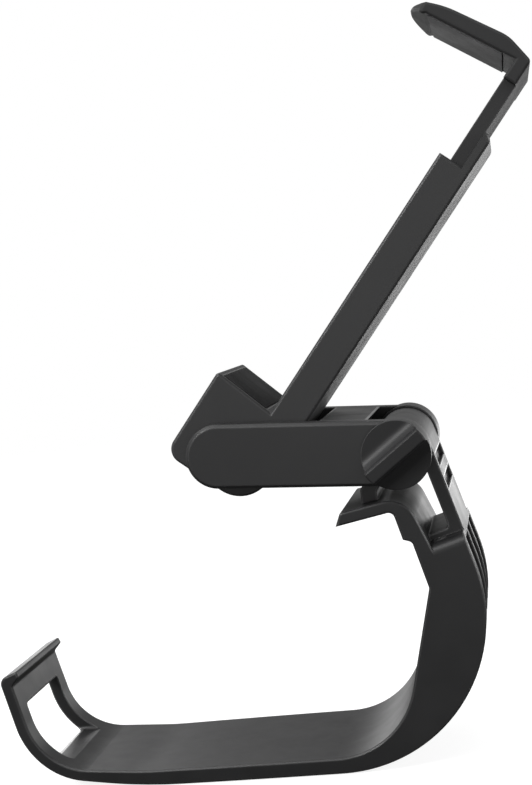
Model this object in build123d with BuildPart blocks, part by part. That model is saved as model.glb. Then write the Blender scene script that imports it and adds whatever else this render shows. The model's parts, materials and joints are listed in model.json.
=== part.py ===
from build123d import *
from math import cos, hypot, radians, sin, tan
import os

# Controller phone clip, in millimetres, +Z up.
# The origin is the middle of the flat seat floor, where the controller rests in the cradle.
# X runs from the front lip to the spine, Y across the clip, and the clip is symmetric about Y = 0
# apart from its knob (on the -Y side) and its nuts and screw heads (on the +Y side).

# How far a cutting profile reaches past what it cuts
overshoot = 10.0

# How far an outline reaches past a curved edge that is then cut from it
trim_margin = 1.0

# Cradle: a bent strap with a lip in front, a cored spine at the back and a hook above
strap_thickness = 3.1
lip_thickness = 2.4
strap_half_front = 15.3
strap_half_back = 17.4
strap_chamfer = 0.3
taper_start_x = 12.0
seat_front_x = -26.1
seat_rise_in = 4.0
seat_rise_out = 7.5
lip_lean = 13.3
lip_wall_x = -51.2
lip_wall_z = 18.9
nose_reach = 1.6
nose_height = 2.9
lip_corner_radius = 13.0
lip_top_radius = 1.8
seat_blend_radius = 60.0
spine_foot_x = 26.4
spine_foot_radius = 17.0
spine_straight = 6.3
spine_lean_in = 15.2
spine_lean_out = 15.1
kink_z = 32.0
brow_lean = 14.0
step_z = 41.2
step_depth = 1.7
shoulder_z = 40.3
shoulder_round = 2.0

# Hook over the controller's rear edge
hook_z = 47.4
hook_reach = 11.45
hook_slope = 9.6
hook_thickness = 2.4
hook_back_thickness = 3.7
hook_back_lean = 21.4
hook_outer_radius = 5.5
hook_tip_angle = 67.0

# Window in the front lip
window_half_width = 11.0
window_low_z = 1.75
window_high_z = 14.2

# Core: web, back plate, neck and hinge barrel, which stand between the arm's plates
core_half = 12.5
plate_thickness = 2.6
web_rise = 1.2
neck_x = 23.5
neck_thickness = 3.2
neck_bend_z = 51.8
neck_outer_angle = 216.3
neck_outer_rise = 0.5
neck_inner_angle = 243.4
neck_inner_depth = 2.7
pocket_height = 2.5
pocket_depth = 1.0
pocket_margin = 1.4
pocket_distances = (4.6, 9.4)

# Cored pockets in the back of the spine
core_count = 3
core_rib = 1.5
core_side_wall = 2.3
core_floor = 2.8
core_top_wall = 1.3
core_bottom_z = 24.0

# Lower hinge, in the clip's own frame
hinge_x = 32.0
hinge_z = 58.7
barrel_radius = 6.05

# Arm between the two hinges, whose length follows from the bar, the bridge and the barrel's relief
arm_angle = 175.4
arm_radius = 6.25
arm_plate_thickness = 4.2
arm_chamfer = 0.6
bridge_length = 6.7
bridge_gap = 2.3
bridge_low = -3.0
bridge_relief_radius = 8.5
boss_gap = 0.1

# Hinge hardware: M4 bolts, nuts and friction washers
bolt_radius = 2.0
bolt_clearance = 0.08
nut_across_flats = 7.0
nut_thickness = 3.2
nut_clearance = 0.1
nut_boss_rim = 0.25
nut_boss_height = 2.0
nut_boss_chamfer = 0.4
washer_radius = 5.0
washer_thickness = 0.6
washer_recess = 0.3
head_radius = 3.5
head_height = 2.2
head_clearance = 0.2

# Arm screws, from the far side through the bridge into the near plate
screw_radius = 1.1
screw_head_radius = 1.8
screw_head_height = 1.2
screw_bite = 2.4
screw_spacing = 4.6
screw_clearance = 0.05
screw_inset = 3.9
screw_y = 1.4
socket_depth = 0.7
socket_half = 0.75

# Knob on the lower hinge
knob_radius = 6.65
knob_disc = 2.4
knob_height = 5.9
knob_gap = 0.3
knob_bar = 2.7
knob_blend = 2.6
knob_angle = 35.2
knob_head_across_flats = 7.0
knob_head_height = 2.0
knob_chamfer = 0.3
knob_washer_radius = 4.6
knob_washer_thickness = 0.5
knob_washer_recess = 0.3
stud_end_gap = 0.4

# Holder: an L of ledge block and bar, measured from the upper hinge
holder_half = 14.5
holder_gap = 0.3
bar_lean = 50.3
bar_face = 3.75
bar_back = 10.65
bar_top = 72.0
block_front = -9.45
block_bottom = -6.1
block_front_radius = 3.0
block_back_radius = 6.9
ledge_root = 12.3
ledge_rise = 4.2
front_wall = 2.2
back_wall = 1.75
channel_half = 12.2
channel_floor = 14.0
cover_top = 79.8
cover_bottom = 3.5
cover_round = 1.6
holder_chamfer = 0.4
holder_corner = 0.6

# Slider and jaw, in one moulding
slider_clearance = 0.1
slider_half = 12.0
slider_bottom = 34.0
jaw_foot = 90.2
jaw_root = 94.1
jaw_slope = 5.0
jaw_reach = 26.0
jaw_bow = 3.0
jaw_lip = 4.4
jaw_lip_step = 0.6
jaw_lip_drop = 0.45
jaw_brow = (-10.5, 95.45)
jaw_brow_slope = 19.5
jaw_brow_radius = 20.0
jaw_crown = (2.65, 97.05)
jaw_crown_radius = 8.0
jaw_back_top = 95.4
jaw_back_radius = 1.0
jaw_chamfer = 0.4
jaw_corner = 0.5
notch_pitch = 2.0
notch_depth = 0.5
notch_half = 5.0
notch_first = 37.0
notch_count = 20

# Soft pads
ledge_recess = 0.8
ledge_pad_thickness = 0.9
ledge_pad_margin = 1.3
jaw_recess = 1.0
jaw_pad_thickness = 1.3
jaw_pad_margin = 1.0
jaw_pad_lip_gap = 0.3
jaw_pad_root_gap = 2.6
face_recess = 0.5
face_pad_thickness = 0.6
face_pad_half = 9.0
face_pad_start = 18.0
face_pad_end = 66.0
pad_clearance = 0.05

# Detent spring in the front wall of the bar
spring_thickness = 0.3
spring_half = 3.0
spring_start = 46.0
spring_end = 62.0
spring_bump = 6.0
spring_pocket = 0.9
spring_clearance = 0.3
spring_gap = 0.05

# Screws of the back cover
cover_screw_radius = 0.9
cover_screw_head = 1.8
cover_screw_head_height = 0.9
cover_screw_length = 6.0
cover_screw_u = 8.5
cover_screw_y = 9.0


def polar(origin, angle, distance):
    """The point at a distance from origin in the direction of angle, in degrees."""
    return (origin[0] + distance * cos(radians(angle)), origin[1] + distance * sin(radians(angle)))


def crossing(p, p_angle, q, q_angle):
    """Where the line through p at p_angle meets the line through q at q_angle."""
    px, pz = cos(radians(p_angle)), sin(radians(p_angle))
    qx, qz = cos(radians(q_angle)), sin(radians(q_angle))
    t = ((q[0] - p[0]) * qz - (q[1] - p[1]) * qx) / (px * qz - pz * qx)
    return (p[0] + t * px, p[1] + t * pz)


def outline(corners):
    """A closed face from (x, y, corner radius) triples, inside a sketch."""
    with BuildLine() as path:
        FilletPolyline(*[(x, y) for x, y, _ in corners], radius=[r for _, _, r in corners], close=True)
    make_face(path.edges())


def side_plane(origin, angle):
    """A plane facing the near side, with its x axis along angle in the XZ plane."""
    x_dir = (cos(radians(angle)), 0, sin(radians(angle)))
    return Plane(origin=(origin[0], 0, origin[1]), x_dir=x_dir, z_dir=(0, -1, 0))


def is_seam(edge):
    """Whether an edge lies on the seam between the holder's body and its back cover."""
    middle = holder_plane.to_local_coords(edge.center())
    return abs(middle.X - channel_back) < 0.01 or abs(middle.Y - cover_bottom) < 0.01


os.makedirs("parts", exist_ok=True)

# Widths and lengths that the pieces share
arm_gap_half = holder_half + holder_gap
arm_half = arm_gap_half + arm_plate_thickness
bar_in_arm = bar_lean + 180 - arm_angle
bar_back_foot = polar((0, 0), bar_in_arm - 90, bar_back)
bridge_start = crossing(bar_back_foot, bar_in_arm, (0, arm_radius), 0)[0] + bridge_gap
arm_length = bridge_start + bridge_length + bridge_relief_radius
screw_x = bridge_start + screw_inset

# Places and planes that the pieces share
hinge = (hinge_x, hinge_z)
upper = polar(hinge, arm_angle, arm_length)
side = Plane.XZ
arm_plane = side_plane(upper, arm_angle - 180)
nut_plane = arm_plane.offset(-arm_half - nut_boss_height)
holder_plane = side_plane(upper, bar_lean - 90)
bore_radius = bolt_radius + bolt_clearance
boss_half = core_half + washer_thickness - washer_recess + boss_gap
holder_washer_half = arm_gap_half - boss_gap
holder_recess = holder_half - (holder_washer_half - washer_thickness)

# Lines of the cradle's side view
plate_angle = 90 + spine_lean_out
plate_tangent = polar(hinge, spine_lean_out, barrel_radius)
plate_inner_tangent = polar(hinge, spine_lean_out, barrel_radius - plate_thickness)
kink = crossing((spine_foot_x, 0), 90 - spine_lean_in, (0, kink_z), 0)
step_outer = crossing(kink, 90 + brow_lean, (0, step_z), 0)
step_inner = (step_outer[0] - step_depth, step_z + 0.35 * step_depth)
hook_corner = crossing(step_inner, 90 + brow_lean, (0, hook_z), 0)
tip_low = polar(hook_corner, 180 + hook_slope, hook_reach)
tip_high = crossing(tip_low, hook_tip_angle, polar(hook_corner, 90 + hook_slope, hook_thickness), hook_slope)
hook_back = (hook_corner[0] + hook_back_thickness, hook_z)
hook_outer = crossing(tip_high, hook_slope, hook_back, 90 + hook_back_lean)
shoulder_inner = crossing(hook_back, 90 + hook_back_lean, (0, shoulder_z), 0)
shoulder_outer = crossing(shoulder_inner, spine_lean_out, plate_tangent, plate_angle)
shoulder_plane = Plane(origin=(shoulder_inner[0], 0, shoulder_inner[1]), x_dir=(0, 1, 0),
                       z_dir=(cos(radians(spine_lean_out)), 0, sin(radians(spine_lean_out))))
spine_bottom = crossing(plate_tangent, plate_angle, (0, -strap_thickness), 0)
spine_length = hypot(shoulder_outer[0] - spine_bottom[0], shoulder_outer[1] - spine_bottom[1])
spine_outer_radius = (spine_length - spine_straight) / tan(radians(plate_angle / 2))
lip_inner = (lip_wall_x, lip_wall_z)
lip_outer = polar(lip_inner, 180 + lip_lean, lip_thickness)
front_inner = crossing((seat_front_x, 0), 180 - seat_rise_in, lip_inner, 90 + lip_lean)
front_outer = crossing((seat_front_x, -strap_thickness), 180 - seat_rise_out, lip_outer, 90 + lip_lean)
lip_top = polar(lip_outer, 90 + lip_lean, 0.7 * nose_height)
nose_tip = (lip_inner[0] + nose_reach, lip_wall_z + 0.6 * nose_height)
nose_top = (nose_tip[0] - 0.5, lip_wall_z + nose_height)

cradle_side = [
    (*nose_top, 0.4), (*nose_tip, 0.4), (*lip_inner, 0.5),
    (*front_inner, lip_corner_radius), (seat_front_x, 0, seat_blend_radius),
    (spine_foot_x, 0, spine_foot_radius), (*kink, 1.2),
    (*step_outer, 1.0), (*step_inner, 0), (*hook_corner, 1.2),
    (*tip_low, 0), (*tip_high, 0.7), (*hook_outer, hook_outer_radius),
    (*shoulder_inner, 0), (*shoulder_outer, 0), (*spine_bottom, spine_outer_radius),
    (seat_front_x, -strap_thickness, 2 * seat_blend_radius),
    (*front_outer, lip_corner_radius + lip_thickness), (*lip_top, lip_top_radius),
]

# Web, back plate and neck
web_near = polar(shoulder_inner, plate_angle, web_rise)
web_floor_inner = crossing(web_near, spine_lean_out, plate_inner_tangent, plate_angle)
web_inside = polar(web_near, 180 + spine_lean_out, 1.0)
spine_inside = polar(shoulder_inner, plate_angle, -4)
plate_foot = polar(shoulder_outer, plate_angle, -4)
plate_side = [
    (*plate_tangent, 0), (*plate_inner_tangent, 0), (*web_floor_inner, 0.8),
    (*web_inside, 0), (*spine_inside, 0), (*plate_foot, 0),
]
neck_foot = crossing(tip_high, hook_slope, (neck_x, 0), 90)
neck_outer = polar(hinge, neck_outer_angle, barrel_radius + neck_outer_rise)
neck_inner = polar(hinge, neck_inner_angle, barrel_radius - neck_inner_depth)
neck_side = [
    (neck_x, neck_foot[1] - 0.5 * hook_thickness, 0), (neck_x, neck_bend_z, 1.0), (*neck_outer, 0),
    (*neck_inner, 0), (neck_x + neck_thickness, neck_bend_z - 0.6, 1.2),
    (neck_x + neck_thickness, neck_foot[1] - 0.35 * hook_thickness, 0),
]

core_lines = [
    polar(shoulder_outer, plate_angle, -core_top_wall),
    polar(crossing(kink, 90 + brow_lean, shoulder_inner, spine_lean_out), spine_lean_out, core_floor + 1.2),
    (kink[0] + core_floor, kink_z),
    (kink[0] + core_floor - 0.8, core_bottom_z + 3),
    (spine_bottom[0], core_bottom_z - 2),
    polar(shoulder_outer, spine_lean_out, 4),
]
core_width = (2 * strap_half_back - 2 * core_side_wall - (core_count - 1) * core_rib) / core_count
core_pitch = core_width + core_rib

# Cradle with strap, lip, spine, hook, back plate, neck and hinge barrel in one moulding
with BuildPart() as cradle:
    with BuildSketch(side):
        outline(cradle_side)
    extrude(amount=strap_half_back, both=True)
    with BuildSketch(Plane.XY.offset(-strap_thickness - overshoot)):
        with BuildLine():
            taper_start = (taper_start_x, strap_half_back)
            far = TangentArc(taper_start, (lip_wall_x, strap_half_front), tangent=(-1, 0))
            front = Line(far @ 1, (far @ 1) + overshoot * (far % 1))
            Line(front @ 1, ((front @ 1).X, 0))
            Line(((front @ 1).X, 0), (hinge_x + spine_outer_radius, 0))
            Line((hinge_x + spine_outer_radius, 0), (hinge_x + spine_outer_radius, strap_half_back))
            Line((hinge_x + spine_outer_radius, strap_half_back), taper_start)
        make_face()
        mirror(about=Plane.XZ)
    extrude(amount=hinge_z + overshoot, mode=Mode.INTERSECT)
    strap_sides = cradle.faces().filter_by(lambda face: abs(face.normal_at().Y) > 0.9)
    chamfer(strap_sides.edges().filter_by(Axis.Z, reverse=True), strap_chamfer)
    with BuildSketch(shoulder_plane):
        with BuildLine():
            rounding = TangentArc((strap_half_back - shoulder_round, 0), (strap_half_back, -shoulder_round),
                                  tangent=(1, 0))
            Polyline(rounding @ 1, (strap_half_back + overshoot, -shoulder_round),
                     (strap_half_back + overshoot, overshoot),
                     (strap_half_back - shoulder_round, overshoot), rounding @ 0)
        make_face()
        mirror(about=Plane.YZ)
    extrude(amount=spine_outer_radius, mode=Mode.SUBTRACT)
    with BuildSketch(side):
        outline(plate_side)
        outline(neck_side)
        with Locations(hinge):
            Circle(barrel_radius)
    extrude(amount=core_half, both=True)
    with BuildSketch(Plane.YZ.offset(lip_wall_x - overshoot)):
        with Locations((0, (window_low_z + window_high_z) / 2)):
            RectangleRounded(2 * window_half_width, window_high_z - window_low_z, 0.8)
    extrude(amount=2 * overshoot, mode=Mode.SUBTRACT)
    for index in range(core_count):
        middle = (index - (core_count - 1) / 2) * core_pitch
        with BuildSketch(side.offset(-middle)):
            with BuildLine():
                Polyline(*core_lines, close=True)
            make_face()
        extrude(amount=core_width / 2, both=True, mode=Mode.SUBTRACT)
    for distance in pocket_distances:
        pocket_middle = polar(plate_tangent, plate_angle, -distance)
        with BuildSketch(side_plane(pocket_middle, spine_lean_out)):
            Rectangle(2 * pocket_depth, pocket_height)
        extrude(amount=core_half - pocket_margin, both=True, mode=Mode.SUBTRACT)
    with BuildSketch(side):
        with Locations(hinge):
            Circle(bore_radius)
    extrude(amount=core_half, both=True, mode=Mode.SUBTRACT)
    for end in (1, -1):
        with BuildSketch(side.offset(end * (core_half - washer_recess))):
            with Locations(hinge):
                Circle(washer_radius + bolt_clearance)
        extrude(amount=end * washer_recess, mode=Mode.SUBTRACT)
cradle.part.label = "cradle"
export_step(cradle.part, "parts/cradle.step")

# Friction washers of the lower hinge, one in each end of the barrel
with BuildPart() as lower_washers:
    for end in (1, -1):
        with BuildSketch(side.offset(end * (core_half - washer_recess))):
            with Locations(hinge):
                Circle(washer_radius)
                Circle(bore_radius, mode=Mode.SUBTRACT)
        extrude(amount=end * washer_thickness)
lower_washers.part.label = "lower_friction_washers"
export_step(lower_washers.part, "parts/lower_friction_washers.step")

# Arm frame: the far plate and the bridge between the plates
with BuildPart() as arm_frame:
    with BuildSketch(arm_plane.offset(-arm_half)):
        with Locations((arm_length / 2, 0)):
            SlotCenterToCenter(arm_length, 2 * arm_radius)
    extrude(amount=arm_half - arm_gap_half)
    chamfer(arm_frame.faces().sort_by(Axis.Y)[-1].edges(), arm_chamfer)
    with BuildSketch(nut_plane):
        with Locations((arm_length, 0)):
            Circle(arm_radius + nut_boss_rim)
    extrude(amount=arm_half + nut_boss_height - boss_half)
    chamfer(arm_frame.faces().sort_by(Axis.Y)[-1].edges(), nut_boss_chamfer)
    with BuildSketch(arm_plane.offset(-arm_gap_half)):
        with BuildLine():
            Polyline((bridge_start, bridge_low), (arm_length, bridge_low), (arm_length, arm_radius),
                     (bridge_start, arm_radius), close=True)
        make_face()
        with Locations((arm_length, 0)):
            Circle(bridge_relief_radius, mode=Mode.SUBTRACT)
    extrude(amount=2 * arm_gap_half)
    with BuildSketch(nut_plane):
        with Locations((0, 0), (arm_length, 0)):
            Circle(bore_radius)
        with Locations((screw_x, screw_y - screw_spacing / 2), (screw_x, screw_y + screw_spacing / 2)):
            Circle(screw_radius + screw_clearance)
    extrude(amount=nut_boss_height + 2 * arm_half, mode=Mode.SUBTRACT)
    with BuildSketch(nut_plane):
        with Locations((arm_length, 0)):
            RegularPolygon(nut_across_flats / 2 + nut_clearance, 6, major_radius=False)
    extrude(amount=nut_thickness + nut_clearance, mode=Mode.SUBTRACT)
    with BuildSketch(arm_plane.offset(-arm_half)):
        Circle(head_radius + head_clearance)
    extrude(amount=head_height, mode=Mode.SUBTRACT)
    with BuildSketch(arm_plane.offset(-arm_half)):
        with Locations((screw_x, screw_y - screw_spacing / 2), (screw_x, screw_y + screw_spacing / 2)):
            Circle(screw_head_radius + screw_clearance)
    extrude(amount=screw_head_height, mode=Mode.SUBTRACT)
arm_frame.part.label = "arm_frame"
export_step(arm_frame.part, "parts/arm_frame.step")

# Arm side plate on the near side, screwed to the bridge
with BuildPart() as side_plate:
    with BuildSketch(arm_plane.offset(arm_gap_half)):
        with Locations((arm_length / 2, 0)):
            SlotCenterToCenter(arm_length, 2 * arm_radius)
    extrude(amount=arm_half - arm_gap_half)
    chamfer(side_plate.faces().sort_by(Axis.Y)[0].edges(), arm_chamfer)
    with BuildSketch(arm_plane.offset(boss_half)):
        with Locations((arm_length, 0)):
            Circle(arm_radius)
    extrude(amount=arm_gap_half - boss_half)
    with BuildSketch(arm_plane.offset(boss_half)):
        with Locations((arm_length, 0)):
            Circle(bore_radius)
    extrude(amount=arm_half - boss_half, mode=Mode.SUBTRACT)
    with BuildSketch(arm_plane.offset(arm_gap_half)):
        RegularPolygon(nut_across_flats / 2 + nut_clearance, 6, major_radius=False)
    extrude(amount=nut_thickness, mode=Mode.SUBTRACT)
    with BuildSketch(arm_plane.offset(arm_gap_half)):
        with Locations((screw_x, screw_y - screw_spacing / 2), (screw_x, screw_y + screw_spacing / 2)):
            Circle(screw_radius + screw_clearance)
    extrude(amount=screw_bite + screw_clearance, mode=Mode.SUBTRACT)
side_plate.part.label = "arm_side_plate"
export_step(side_plate.part, "parts/arm_side_plate.step")

# Two screws that hold the arm's halves together
with BuildPart() as arm_screws:
    for offset in (-screw_spacing / 2, screw_spacing / 2):
        with BuildSketch(arm_plane.offset(screw_head_height - arm_half)):
            with Locations((screw_x, screw_y + offset)):
                Circle(screw_head_radius)
        extrude(amount=-0.9 * screw_head_height)
        with BuildSketch(arm_plane.offset(screw_head_height - arm_half)):
            with Locations((screw_x, screw_y + offset)):
                Circle(screw_radius)
        extrude(amount=arm_half - screw_head_height + arm_gap_half + screw_bite)
        with BuildSketch(arm_plane.offset(0.1 * screw_head_height - arm_half)):
            with Locations((screw_x, screw_y + offset)):
                RegularPolygon(socket_half, 6, major_radius=False)
        extrude(amount=socket_depth, mode=Mode.SUBTRACT)
arm_screws.part.label = "arm_screws"
export_step(arm_screws.part, "parts/arm_screws.step")

# Bolt of the upper hinge, with its head sunk in the far plate
with BuildPart() as upper_bolt:
    with BuildSketch(arm_plane.offset(head_height - arm_half)):
        Circle(head_radius)
    extrude(amount=-0.9 * head_height)
    with BuildSketch(arm_plane.offset(head_height - arm_half)):
        Circle(bolt_radius)
    extrude(amount=arm_half - head_height + arm_gap_half + nut_thickness)
    with BuildSketch(arm_plane.offset(0.1 * head_height - arm_half)):
        RegularPolygon(1.25, 6, major_radius=False)
    extrude(amount=0.6 * head_height, mode=Mode.SUBTRACT)
upper_bolt.part.label = "upper_hinge_bolt"
export_step(upper_bolt.part, "parts/upper_hinge_bolt.step")

# Nut of the upper hinge, held in the near plate
with BuildPart() as upper_nut:
    with BuildSketch(arm_plane.offset(arm_gap_half)):
        RegularPolygon(nut_across_flats / 2, 6, major_radius=False)
        Circle(bolt_radius, mode=Mode.SUBTRACT)
    extrude(amount=nut_thickness)
upper_nut.part.label = "upper_hinge_nut"
export_step(upper_nut.part, "parts/upper_hinge_nut.step")

# Nut of the lower hinge, in the hexagonal pocket of the far plate's boss
with BuildPart() as lower_nut:
    with BuildSketch(nut_plane.offset(nut_clearance)):
        with Locations((arm_length, 0)):
            RegularPolygon(nut_across_flats / 2, 6, major_radius=False)
            Circle(bolt_radius + bolt_clearance / 2, mode=Mode.SUBTRACT)
    extrude(amount=nut_thickness)
lower_nut.part.label = "lower_hinge_nut"
export_step(lower_nut.part, "parts/lower_hinge_nut.step")

# Knob with its grip bar between two scooped sides
knob_plane = side_plane(hinge, knob_angle).offset(arm_half + knob_gap)
bar_half = knob_bar / 2
with BuildPart() as knob:
    with BuildSketch(knob_plane):
        Circle(knob_radius)
    extrude(amount=knob_height)
    scoop_plane = Plane(origin=knob_plane.origin, x_dir=knob_plane.y_dir, z_dir=knob_plane.x_dir)
    for turn in (1, -1):
        with BuildSketch(scoop_plane):
            outline([
                (turn * bar_half, knob_height + 1, 0), (turn * bar_half, knob_disc, knob_blend),
                (turn * 2 * knob_radius, knob_disc, 0), (turn * 2 * knob_radius, knob_height + 1, 0),
            ])
        extrude(amount=knob_radius, both=True, mode=Mode.SUBTRACT)
    chamfer(knob.faces().sort_by(Axis.Y)[0].edges(), knob_chamfer)
    with BuildSketch(knob_plane):
        Circle(knob_washer_radius + bolt_clearance)
    extrude(amount=knob_washer_recess, mode=Mode.SUBTRACT)
    with BuildSketch(knob_plane.offset(knob_washer_recess)):
        RegularPolygon(knob_head_across_flats / 2, 6, major_radius=False)
    extrude(amount=knob_head_height, mode=Mode.SUBTRACT)
knob.part.label = "knob"
export_step(knob.part, "parts/knob.step")

# Threaded stud, whose hexagonal head is moulded into the knob
stud_plane = knob_plane.offset(knob_washer_recess)
with BuildPart() as stud:
    with BuildSketch(stud_plane):
        RegularPolygon(knob_head_across_flats / 2, 6, major_radius=False)
    extrude(amount=knob_head_height)
    with BuildSketch(stud_plane):
        Circle(bolt_radius)
    extrude(amount=-(knob_washer_recess + knob_gap + 2 * arm_half + nut_boss_height - stud_end_gap))
stud.part.label = "knob_stud"
export_step(stud.part, "parts/knob_stud.step")

# Steel washer between the knob and the arm
with BuildPart() as knob_washer:
    with BuildSketch(stud_plane):
        Circle(knob_washer_radius)
        Circle(bolt_radius, mode=Mode.SUBTRACT)
    extrude(amount=-knob_washer_thickness)
knob_washer.part.label = "knob_washer"
export_step(knob_washer.part, "parts/knob_washer.step")

# Lines of the holder's side view, in the holder's own plane: v to the back, u up the bar
ledge_outer = crossing((bar_face, ledge_root), 180 - ledge_rise, (block_front, 0), 90)
channel_front = bar_face + front_wall
channel_back = bar_back - back_wall
slider_front = channel_front + slider_clearance
slider_back = channel_back - slider_clearance
body_side = [
    (*ledge_outer, holder_corner), (block_front, block_bottom, block_front_radius),
    (bar_back, block_bottom, block_back_radius), (bar_back, cover_bottom, 0), (channel_back, cover_bottom, 0),
    (channel_back, bar_top, 0), (bar_face, bar_top, 0), (bar_face, ledge_root, 0),
]
back_plane = Plane(origin=holder_plane.from_local_coords((bar_back, 0, 0)),
                   x_dir=(0, -1, 0), z_dir=-holder_plane.x_dir)
cover_screw_spots = [(-cover_screw_y, cover_screw_u), (cover_screw_y, cover_screw_u)]

ledge_corner = holder_plane.from_local_coords((bar_face, ledge_root, 0))
ledge_plane = side_plane((ledge_corner.X, ledge_corner.Z), bar_lean + 90 - ledge_rise)
ledge_depth = hypot(ledge_outer[0] - bar_face, ledge_outer[1] - ledge_root)

# Holder body: ledge block, side walls and front wall of the bar
with BuildPart() as holder_body:
    with BuildSketch(holder_plane):
        outline(body_side)
    extrude(amount=holder_half, both=True)
    body_rims = holder_body.faces().filter_by(Axis.Y).edges()
    chamfer(body_rims.filter_by(lambda edge: not is_seam(edge)), holder_chamfer)
    with BuildSketch(holder_plane):
        with BuildLine():
            Polyline((channel_front, channel_floor), (channel_back, channel_floor),
                     (channel_back, bar_top), (channel_front, bar_top), close=True)
        make_face()
    extrude(amount=channel_half, both=True, mode=Mode.SUBTRACT)
    with BuildSketch(holder_plane):
        with BuildLine():
            Polyline((channel_front - spring_pocket, spring_start), (channel_front, spring_start),
                     (channel_front, spring_end), (channel_front - spring_pocket, spring_end), close=True)
        make_face()
    extrude(amount=spring_half + spring_clearance, both=True, mode=Mode.SUBTRACT)
    with BuildSketch(holder_plane):
        with Locations((bar_face + face_recess / 2, (face_pad_start + face_pad_end) / 2)):
            Rectangle(face_recess, face_pad_end - face_pad_start)
    extrude(amount=face_pad_half, both=True, mode=Mode.SUBTRACT)
    with BuildSketch(ledge_plane):
        with Locations((ledge_depth / 2, 0)):
            Rectangle(ledge_depth - 2 * ledge_pad_margin, 2 * ledge_recess)
    extrude(amount=holder_half - ledge_pad_margin, both=True, mode=Mode.SUBTRACT)
    with BuildSketch(back_plane):
        with Locations(*cover_screw_spots):
            Circle(cover_screw_radius)
    extrude(amount=cover_screw_length, mode=Mode.SUBTRACT)
    with BuildSketch(holder_plane):
        Circle(bore_radius)
    extrude(amount=holder_half, both=True, mode=Mode.SUBTRACT)
    for end in (1, -1):
        with BuildSketch(holder_plane.offset(end * holder_half)):
            Circle(washer_radius + bolt_clearance)
        extrude(amount=-end * holder_recess, mode=Mode.SUBTRACT)
holder_body.part.label = "holder_body"
export_step(holder_body.part, "parts/holder_body.step")

# Friction washers of the upper hinge, one in each side of the holder
with BuildPart() as upper_washers:
    for end in (1, -1):
        with BuildSketch(holder_plane.offset(end * holder_washer_half)):
            Circle(washer_radius)
            Circle(bore_radius, mode=Mode.SUBTRACT)
        extrude(amount=-end * washer_thickness)
upper_washers.part.label = "upper_friction_washers"
export_step(upper_washers.part, "parts/upper_friction_washers.step")

# Back cover of the bar, which reaches past the bar's mouth as a guard for the slider
cover_side = [
    (channel_back, cover_bottom, 0), (bar_back, cover_bottom, 0),
    (bar_back, cover_top, cover_round), (channel_back, cover_top, 0),
]
with BuildPart() as holder_cover:
    with BuildSketch(holder_plane):
        outline(cover_side)
    extrude(amount=holder_half, both=True)
    cover_rims = holder_cover.faces().filter_by(Axis.Y).edges()
    chamfer(cover_rims.filter_by(lambda edge: not is_seam(edge)), holder_chamfer)
    with BuildSketch(back_plane):
        with Locations(*cover_screw_spots):
            Circle(cover_screw_head + screw_clearance)
    extrude(amount=cover_screw_head_height, mode=Mode.SUBTRACT)
    with BuildSketch(back_plane):
        with Locations(*cover_screw_spots):
            Circle(cover_screw_radius + screw_clearance)
    extrude(amount=back_wall, mode=Mode.SUBTRACT)
holder_cover.part.label = "holder_back_cover"
export_step(holder_cover.part, "parts/holder_back_cover.step")

# Two socket screws that hold the back cover to the ledge block
with BuildPart() as cover_screws:
    with BuildSketch(back_plane.offset(0.1 * cover_screw_head_height)):
        with Locations(*cover_screw_spots):
            Circle(cover_screw_head)
    extrude(amount=0.9 * cover_screw_head_height)
    with BuildSketch(back_plane.offset(0.1 * cover_screw_head_height)):
        with Locations(*cover_screw_spots):
            Circle(cover_screw_radius)
    extrude(amount=cover_screw_length - 0.1 * cover_screw_head_height)
    with BuildSketch(back_plane.offset(0.1 * cover_screw_head_height)):
        with Locations(*cover_screw_spots):
            RegularPolygon(socket_half, 6, major_radius=False)
    extrude(amount=socket_depth, mode=Mode.SUBTRACT)
cover_screws.part.label = "cover_screws"
export_step(cover_screws.part, "parts/cover_screws.step")

# Slider with its notched front and the jaw at its top
jaw_end = slider_back - jaw_reach
jaw_tip = crossing((slider_front, jaw_root), 180 + jaw_slope, (jaw_end + jaw_lip, 0), 90)
lip_low = (jaw_tip[0] - jaw_lip_step, jaw_tip[1] - jaw_lip_drop)
jaw_front = (jaw_end - trim_margin, lip_low[1])
jaw_side = [
    (slider_front, jaw_foot, 0), (slider_front, jaw_root, 0),
    (*jaw_tip, jaw_corner), (*lip_low, jaw_corner), (*jaw_front, 0),
    (*crossing(jaw_brow, 180 + jaw_brow_slope, jaw_front, 90), 0),
    (*jaw_brow, jaw_brow_radius), (*jaw_crown, jaw_crown_radius),
    (slider_back, jaw_back_top, jaw_back_radius), (slider_back, jaw_foot, 0),
]
jaw_plan = Plane(origin=holder_plane.origin, x_dir=holder_plane.x_dir, z_dir=holder_plane.y_dir)
underside = holder_plane.from_local_coords((slider_front, jaw_root, 0))
jaw_plane = side_plane((underside.X, underside.Z), bar_lean + 90 + jaw_slope)
jaw_depth = hypot(jaw_tip[0] - slider_front, jaw_tip[1] - jaw_root)
jaw_pad_length = jaw_depth - jaw_pad_root_gap - jaw_pad_lip_gap
jaw_pad_middle = jaw_pad_root_gap + jaw_pad_length / 2
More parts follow.
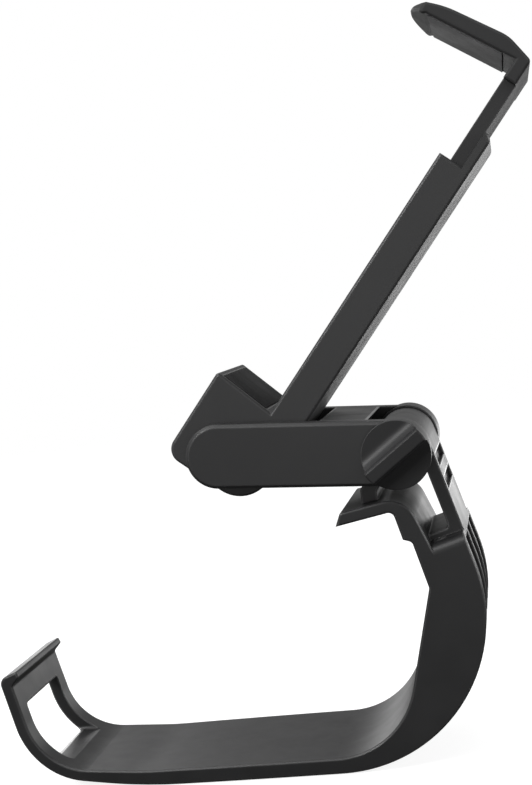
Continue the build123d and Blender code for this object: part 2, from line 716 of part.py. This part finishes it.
with BuildPart() as jaw_slider:
    with BuildSketch(holder_plane):
        outline(jaw_side)
    extrude(amount=holder_half, both=True)
    with BuildSketch(jaw_plan):
        with BuildLine():
            corner_v = jaw_end + jaw_bow
            ThreePointArc((corner_v, holder_half), (jaw_end, 0), (corner_v, -holder_half))
            Polyline((corner_v, -holder_half), (slider_back, -holder_half),
                     (slider_back, holder_half), (corner_v, holder_half))
        make_face()
    extrude(amount=bar_top + jaw_root, mode=Mode.INTERSECT)
    front_face = jaw_slider.faces().sort_by(Axis(holder_plane.origin, holder_plane.x_dir))[0]
    jaw_rims = jaw_slider.faces().filter_by(Axis.Y).edges() + front_face.edges()
    chamfer(jaw_rims, jaw_chamfer)
    with BuildSketch(holder_plane):
        with Locations(((slider_front + slider_back) / 2, (slider_bottom + jaw_root) / 2)):
            Rectangle(slider_back - slider_front, jaw_root - slider_bottom)
    extrude(amount=slider_half, both=True)
    with BuildSketch(holder_plane):
        for index in range(notch_count):
            notch_u = notch_first + index * notch_pitch
            with BuildLine():
                Polyline((slider_front, notch_u - notch_depth), (slider_front + notch_depth, notch_u),
                         (slider_front, notch_u + notch_depth), close=True)
            make_face()
    extrude(amount=notch_half, both=True, mode=Mode.SUBTRACT)
    with BuildSketch(jaw_plane):
        with Locations((jaw_pad_middle, 0)):
            Rectangle(jaw_pad_length, 2 * jaw_recess)
    extrude(amount=holder_half - jaw_pad_margin, both=True, mode=Mode.SUBTRACT)
jaw_slider.part.label = "jaw_slider"
export_step(jaw_slider.part, "parts/jaw_slider.step")

# Soft pad under the jaw
with BuildPart() as jaw_pad:
    with BuildSketch(jaw_plane):
        with Locations((jaw_pad_middle, jaw_pad_thickness / 2 - jaw_recess)):
            Rectangle(jaw_pad_length - 2 * pad_clearance, jaw_pad_thickness)
    extrude(amount=holder_half - jaw_pad_margin - pad_clearance, both=True)
jaw_pad.part.label = "jaw_pad"
export_step(jaw_pad.part, "parts/jaw_pad.step")

# Soft pad on the ledge
with BuildPart() as ledge_pad:
    with BuildSketch(ledge_plane):
        with Locations((ledge_depth / 2, ledge_recess - ledge_pad_thickness / 2)):
            Rectangle(ledge_depth - 2 * ledge_pad_margin - 2 * pad_clearance, ledge_pad_thickness)
    extrude(amount=holder_half - ledge_pad_margin - pad_clearance, both=True)
ledge_pad.part.label = "ledge_pad"
export_step(ledge_pad.part, "parts/ledge_pad.step")

# Soft pad along the face of the bar, behind the phone
with BuildPart() as face_pad:
    face_pad_middle = (bar_face + face_recess - face_pad_thickness / 2, (face_pad_start + face_pad_end) / 2)
    with BuildSketch(holder_plane):
        with Locations(face_pad_middle):
            Rectangle(face_pad_thickness, face_pad_end - face_pad_start - 2 * pad_clearance)
    extrude(amount=face_pad_half - pad_clearance, both=True)
face_pad.part.label = "face_pad"
export_step(face_pad.part, "parts/face_pad.step")

# Leaf spring whose bump rides in the slider's notches
spring_floor = channel_front - spring_pocket
bump_floor = slider_front - spring_gap - spring_thickness
spring_middle = (spring_start + spring_end) / 2
spring_line = [
    (spring_floor, spring_start + spring_clearance), (spring_floor, spring_middle - spring_bump / 2),
    (bump_floor, spring_middle), (spring_floor, spring_middle + spring_bump / 2),
    (spring_floor, spring_end - spring_clearance),
]
with BuildPart() as detent_spring:
    with BuildSketch(holder_plane):
        with BuildLine():
            Polyline(*spring_line, *[(v + spring_thickness, u) for v, u in reversed(spring_line)], close=True)
        make_face()
    extrude(amount=spring_half, both=True)
detent_spring.part.label = "detent_spring"
export_step(detent_spring.part, "parts/detent_spring.step")
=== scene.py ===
import json
import math

import bpy
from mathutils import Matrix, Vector


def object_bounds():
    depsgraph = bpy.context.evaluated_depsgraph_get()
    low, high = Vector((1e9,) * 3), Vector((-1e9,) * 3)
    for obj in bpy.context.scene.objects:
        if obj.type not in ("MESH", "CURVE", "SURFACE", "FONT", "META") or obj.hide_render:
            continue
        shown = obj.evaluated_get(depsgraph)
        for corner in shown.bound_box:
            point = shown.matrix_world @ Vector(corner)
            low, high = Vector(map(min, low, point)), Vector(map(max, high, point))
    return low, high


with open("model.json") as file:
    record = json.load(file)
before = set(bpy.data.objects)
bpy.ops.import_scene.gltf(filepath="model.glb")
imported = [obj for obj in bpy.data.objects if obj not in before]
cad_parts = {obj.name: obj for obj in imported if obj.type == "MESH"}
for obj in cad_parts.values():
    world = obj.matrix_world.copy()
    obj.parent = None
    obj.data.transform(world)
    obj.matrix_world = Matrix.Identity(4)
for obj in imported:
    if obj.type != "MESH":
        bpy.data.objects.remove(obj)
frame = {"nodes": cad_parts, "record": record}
cad_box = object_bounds()
scene = bpy.context.scene
MM = 0.001

# Plastic rubbed at its edges, painted paler there partly as wear and partly as painted highlight, and the
# colour sockets of a Mix node
EDGE_WEAR_AND_HIGHLIGHT_COLOUR = (0.09, 0.09, 0.0909, 1)
WORN_SMOOTHING = 0.22
MIX_A, MIX_B, MIX_RESULT = 6, 7, 2

PHOTO_HEIGHT = 785.0
FOCAL_PIXELS = 1550.0
SENSOR = 36.0


# Materials

class Nodes:
    """Adds nodes to one material and links them."""

    def __init__(self, name):
        self.material = bpy.data.materials.new(name)
        self.material.use_nodes = True
        self.tree = self.material.node_tree
        self.tree.nodes.clear()
        self.output = self.add("ShaderNodeOutputMaterial")
        self.shader = self.add("ShaderNodeBsdfPrincipled")
        self.link(self.shader, "BSDF", self.output, "Surface")
        self.place = self.add("ShaderNodeTexCoord")

    def add(self, kind, **values):
        node = self.tree.nodes.new(kind)
        for key, value in values.items():
            setattr(node, key, value)
        return node

    def link(self, a, out, b, into):
        self.tree.links.new(a.outputs[out], b.inputs[into])

    def noise(self, scale, detail=2.0, roughness=0.5):
        node = self.add("ShaderNodeTexNoise")
        node.inputs["Scale"].default_value = scale
        node.inputs["Detail"].default_value = detail
        node.inputs["Roughness"].default_value = roughness
        self.link(self.place, "Object", node, "Vector")
        return node

    def ramp(self, source, out, stops):
        node = self.add("ShaderNodeValToRGB")
        elements = node.color_ramp.elements
        while len(elements) < len(stops):
            elements.new(0.5)
        for element, (position, value) in zip(elements, stops):
            element.position = position
            element.color = (*value, 1) if isinstance(value, tuple) else (value, value, value, 1)
        self.link(source, out, node, "Fac")
        return node

    def span(self, source, out, low, high, to_low, to_high):
        node = self.add("ShaderNodeMapRange")
        for key, value in (("From Min", low), ("From Max", high), ("To Min", to_low), ("To Max", to_high)):
            node.inputs[key].default_value = value
        self.link(source, out, node, "Value")
        return node

    def maths(self, operation, a, b):
        """a and b are (node, output) pairs or numbers."""
        node = self.add("ShaderNodeMath", operation=operation)
        for index, value in enumerate((a, b)):
            if isinstance(value, tuple):
                self.tree.links.new(value[0].outputs[value[1]], node.inputs[index])
            else:
                node.inputs[index].default_value = value
        return node

    def edge_normal(self, radius):
        node = self.add("ShaderNodeBevel")
        node.samples = 6
        node.inputs["Radius"].default_value = radius
        return node

    def edge_wear_and_highlight(self, reach):
        """1 at outer edges, and 0 on flat faces and in corners.

        It comes from how near the other faces are inside the solid. The plastic uses it for paler edges,
        partly wear and partly painted highlight, and for smoother edges.
        """
        inner = self.add("ShaderNodeAmbientOcclusion", inside=True, only_local=True, samples=12)
        inner.inputs["Distance"].default_value = reach
        return self.span(inner, "AO", 0.72, 0.9, 1.0, 0.0)

    def beside_plane(self, normal, offset):
        """0 near a plane where two parts meet flush, and 1 from 0.9 mm away."""
        along = self.add("ShaderNodeVectorMath", operation="DOT_PRODUCT")
        self.link(self.place, "Object", along, 0)
        along.inputs[1].default_value = normal
        beyond = self.maths("SUBTRACT", (along, "Value"), offset)
        apart = self.maths("ABSOLUTE", (beyond, "Value"), 0)
        return self.span(apart, "Value", 0.6 * MM, 0.9 * MM, 0.0, 1.0)

    def bump(self, height, out, distance, strength, normal=None):
        node = self.add("ShaderNodeBump")
        node.inputs["Strength"].default_value = strength
        node.inputs["Distance"].default_value = distance
        self.link(height, out, node, "Height")
        if normal is not None:
            self.link(normal, "Normal", node, "Normal")
        return node

    def finish(self, normal):
        self.link(normal, "Normal", self.shader, "Normal")
        return self.material


def plastic(name, dark, light, rough_low, rough_high, grain=0.006, edge=0.42, reach=0.5, specular=0.5,
            seam=None):
    """Moulded plastic with fine spark-eroded grain and faint flow marks.

    Its outer edges are painted paler, partly as wear and partly as painted highlight, and made smoother,
    save along a seam. grain, edge and reach are in mm.
    """
    m = Nodes(name)
    flow = m.noise(38, 4, 0.55)
    colour = m.ramp(flow, "Fac", [(0.32, dark), (0.7, light)])
    edge_normal = m.edge_normal(edge * MM)
    wear_and_highlight_ao = m.edge_wear_and_highlight(reach * MM)
    wear_and_highlight = (wear_and_highlight_ao, "Result")
    if seam is not None:
        away = m.beside_plane(*seam)
        m.link(m.maths("MULTIPLY", (away, "Result"), edge * MM), "Value", edge_normal, "Radius")
        wear_and_highlight = (m.maths("MULTIPLY", wear_and_highlight, (away, "Result")), "Value")
    # Paler base colour on outer edges: partly wear, partly a painted highlight along the edges.
    wear_and_highlight_mix = m.add("ShaderNodeMix", data_type="RGBA")
    m.link(*wear_and_highlight, wear_and_highlight_mix, "Factor")
    m.link(colour, "Color", wear_and_highlight_mix, MIX_A)
    wear_and_highlight_mix.inputs[MIX_B].default_value = EDGE_WEAR_AND_HIGHLIGHT_COLOUR
    m.link(wear_and_highlight_mix, MIX_RESULT, m.shader, "Base Color")
    fine = m.noise(5200, 2, 0.6)
    coarse = m.noise(1700, 3, 0.5)
    height = m.maths("ADD", (fine, "Fac"), (coarse, "Fac"))
    spread = m.span(m.noise(90, 3, 0.6), "Fac", 0.35, 0.65, rough_low, rough_high)
    smoother = m.maths("MULTIPLY", wear_and_highlight, -WORN_SMOOTHING)
    m.link(m.maths("ADD", (spread, "Result"), (smoother, "Value")), "Value", m.shader, "Roughness")
    m.shader.inputs["Specular IOR Level"].default_value = specular
    bump = m.bump(height, "Value", grain * MM, 0.9, edge_normal)
    return m.finish(bump)


def rubber(name, dark, light, specular):
    """Soft pad: matt, with a close pebbled surface that is darker in its hollows."""
    m = Nodes(name)
    cells = m.add("ShaderNodeTexVoronoi", feature="SMOOTH_F1")
    cells.inputs["Scale"].default_value = 1500
    m.link(m.place, "Object", cells, "Vector")
    colour = m.ramp(cells, "Distance", [(0.1, dark), (0.75, light)])
    m.link(colour, "Color", m.shader, "Base Color")
    patches = m.noise(70, 4, 0.6)
    m.link(m.span(patches, "Fac", 0.35, 0.65, 0.62, 0.8), "Result", m.shader, "Roughness")
    m.shader.inputs["Specular IOR Level"].default_value = specular
    normal = m.edge_normal(0.3 * MM)
    return m.finish(m.bump(cells, "Distance", 0.02 * MM, 0.8, normal))


def steel(name):
    """Plain hardware steel with turning marks."""
    m = Nodes(name)
    m.shader.inputs["Metallic"].default_value = 1.0
    waves = m.add("ShaderNodeTexWave", wave_type="RINGS", rings_direction="Y")
    waves.inputs["Scale"].default_value = 900
    waves.inputs["Distortion"].default_value = 1.5
    m.link(m.place, "Object", waves, "Vector")
    tint = m.ramp(m.noise(260, 4, 0.6), "Fac", [(0.3, (0.46, 0.46, 0.47)), (0.7, (0.58, 0.58, 0.585))])
    m.link(tint, "Color", m.shader, "Base Color")
    m.link(m.span(m.noise(500, 3, 0.6), "Fac", 0.3, 0.7, 0.26, 0.42), "Result", m.shader, "Roughness")
    normal = m.edge_normal(0.12 * MM)
    return m.finish(m.bump(waves, "Fac", 0.004 * MM, 0.5, normal))


# The plane where the holder's body and its back cover meet, square to the bar's long way
joints = frame["record"]["behaviour"]["joints"]
slide = next(joint["axis"] for joint in joints if joint["name"] == "jaw_slide")
seam_normal = Vector((slide[2], 0, -slide[0]))
cover = frame["nodes"]["holder_back_cover"].data
seam_offset = min(point.co.dot(seam_normal) for point in cover.vertices)
cover_seam = (tuple(seam_normal), seam_offset)

def grey(value):
    return value, value, value + 0.0005


strap_plastic = plastic("strap_plastic", grey(0.012), grey(0.016), 0.34, 0.44)
arm_plastic = plastic("arm_plastic", grey(0.016), grey(0.020), 0.36, 0.46)
holder_plastic = plastic("holder_plastic", grey(0.021), grey(0.025), 0.40, 0.50, seam=cover_seam)
cover_plastic = plastic("cover_plastic", grey(0.020), grey(0.026), 0.44, 0.56, grain=0.014, seam=cover_seam)
knob_plastic = plastic("knob_plastic", grey(0.020), grey(0.024), 0.38, 0.46, grain=0.003, edge=0.3,
                       reach=0.08, specular=0.22)
jaw_plastic = plastic("jaw_plastic", grey(0.040), grey(0.046), 0.44, 0.54, reach=0.3, specular=0.02)
pad_rubber = rubber("pad_rubber", grey(0.016), grey(0.028), 0.12)
jaw_rubber = rubber("jaw_rubber", (0.09, 0.09, 0.091), (0.13, 0.13, 0.131), 0.2)
hardware = steel("hardware_steel")

finishes = {
    "cradle": strap_plastic,
    "arm_frame": arm_plastic,
    "arm_side_plate": arm_plastic,
    "holder_body": holder_plastic,
    "holder_back_cover": cover_plastic,
    "jaw_slider": jaw_plastic,
    "knob": knob_plastic,
    "ledge_pad": pad_rubber,
    "face_pad": pad_rubber,
    "jaw_pad": jaw_rubber,
}
for name, node in frame["nodes"].items():
    node.data.materials.clear()
    node.data.materials.append(finishes.get(name, hardware))


# Floor, which fades out into the white surround
def floor():
    reach = 1.6
    mesh = bpy.data.meshes.new("floor")
    low = cad_box[0][2] - 0.2 * MM
    corners = [(-reach, -reach, low), (reach, -reach, low), (reach, reach, low), (-reach, reach, low)]
    mesh.from_pydata(corners, [], [(0, 1, 2, 3)])
    obj = bpy.data.objects.new("floor", mesh)
    scene.collection.objects.link(obj)
    m = Nodes("floor_paper")
    m.shader.inputs["Base Color"].default_value = (0.35, 0.35, 0.35, 1)
    m.shader.inputs["Roughness"].default_value = 0.9
    m.shader.inputs["Specular IOR Level"].default_value = 0.1
    clear = m.add("ShaderNodeBsdfTransparent")
    mix = m.add("ShaderNodeMixShader")
    distance = m.add("ShaderNodeVectorMath", operation="LENGTH")
    m.link(m.place, "Object", distance, 0)
    fade = m.span(distance, "Value", 0.12, 0.9, 0.0, 1.0)
    fade.interpolation_type = "SMOOTHSTEP"
    m.link(fade, "Result", mix, "Fac")
    glow = m.add("ShaderNodeEmission")
    glow.inputs["Strength"].default_value = 0.86
    lit = m.add("ShaderNodeAddShader")
    m.link(m.shader, "BSDF", lit, 0)
    m.link(glow, "Emission", lit, 1)
    dim = m.add("ShaderNodeBsdfDiffuse")
    dim.inputs["Color"].default_value = (0.1, 0.1, 0.1, 1)
    ray = m.add("ShaderNodeLightPath")
    paper = m.add("ShaderNodeMixShader")
    m.link(ray, "Is Camera Ray", paper, "Fac")
    m.link(dim, "BSDF", paper, 1)
    m.link(lit, "Shader", paper, 2)
    m.link(paper, "Shader", mix, 1)
    m.link(clear, "BSDF", mix, 2)
    m.link(mix, "Shader", m.output, "Surface")
    mesh.materials.append(m.material)


floor()


# Light
def softbox(name, place, aim, size, power):
    data = bpy.data.lights.new(name, "AREA")
    data.shape = "RECTANGLE"
    data.size, data.size_y = size
    data.energy = power
    obj = bpy.data.objects.new(name, data)
    scene.collection.objects.link(obj)
    obj.location = place
    obj.rotation_euler = (Vector(aim) - Vector(place)).to_track_quat("-Z", "Y").to_euler()
    obj.visible_camera = False


middle = (0.0, 0.0, 0.06)
softbox("top_box", (-0.15, -0.15, 0.7), middle, (1.1, 0.35), 2.3)
softbox("left_top_box", (-0.55, -0.58, 0.62), middle, (0.4, 0.3), 7.5)
softbox("back_right_box", (0.55, 0.8, 0.12), middle, (0.5, 0.5), 1.15)
softbox("back_left_box", (-0.55, 0.85, 0.25), middle, (0.5, 0.5), 1.7)
softbox("back_box", (0.32, 0.95, 0.04), middle, (0.3, 0.14), 0.06)
softbox("back_paper", (0.2, 0.75, 0.0), (0.2, 0.75, 1.0), (0.9, 0.8), 4.6)
softbox("right_box", (1.0, 0.05, 0.25), middle, (0.6, 0.6), 6.0)
softbox("front_box", (-0.1, -0.95, 0.2), middle, (0.6, 0.6), 0.02)
softbox("front_low_box", (0.1, -0.9, 0.02), middle, (0.5, 0.2), 0.4)

world = bpy.data.worlds.new("surround")
scene.world = world
world.use_nodes = True
tree = world.node_tree
tree.nodes.clear()
output = tree.nodes.new("ShaderNodeOutputWorld")
seen = tree.nodes.new("ShaderNodeBackground")
seen.inputs["Color"].default_value = (1, 1, 1, 1)
seen.inputs["Strength"].default_value = 1.0
light = tree.nodes.new("ShaderNodeBackground")
light.inputs["Color"].default_value = (1, 1, 1, 1)
light.inputs["Strength"].default_value = 0.35
path = tree.nodes.new("ShaderNodeLightPath")
mix = tree.nodes.new("ShaderNodeMixShader")
tree.links.new(path.outputs["Is Camera Ray"], mix.inputs["Fac"])
tree.links.new(light.outputs["Background"], mix.inputs[1])
tree.links.new(seen.outputs["Background"], mix.inputs[2])
tree.links.new(mix.outputs["Shader"], output.inputs["Surface"])
scene.view_settings.view_transform = "Standard"

# Camera
camera_data = bpy.data.cameras.new("camera")
camera_data.sensor_fit = "VERTICAL"
camera_data.sensor_height = SENSOR
camera_data.lens = FOCAL_PIXELS / PHOTO_HEIGHT * SENSOR
camera_data.clip_start = 0.01
camera_data.clip_end = 20.0
camera = bpy.data.objects.new("camera", camera_data)
scene.collection.objects.link(camera)
camera.location = (0.05585, -0.31277, 0.09059)
camera.rotation_euler = tuple(math.radians(a) for a in (86.589, 6.6977, 8.8002))
scene.camera = camera
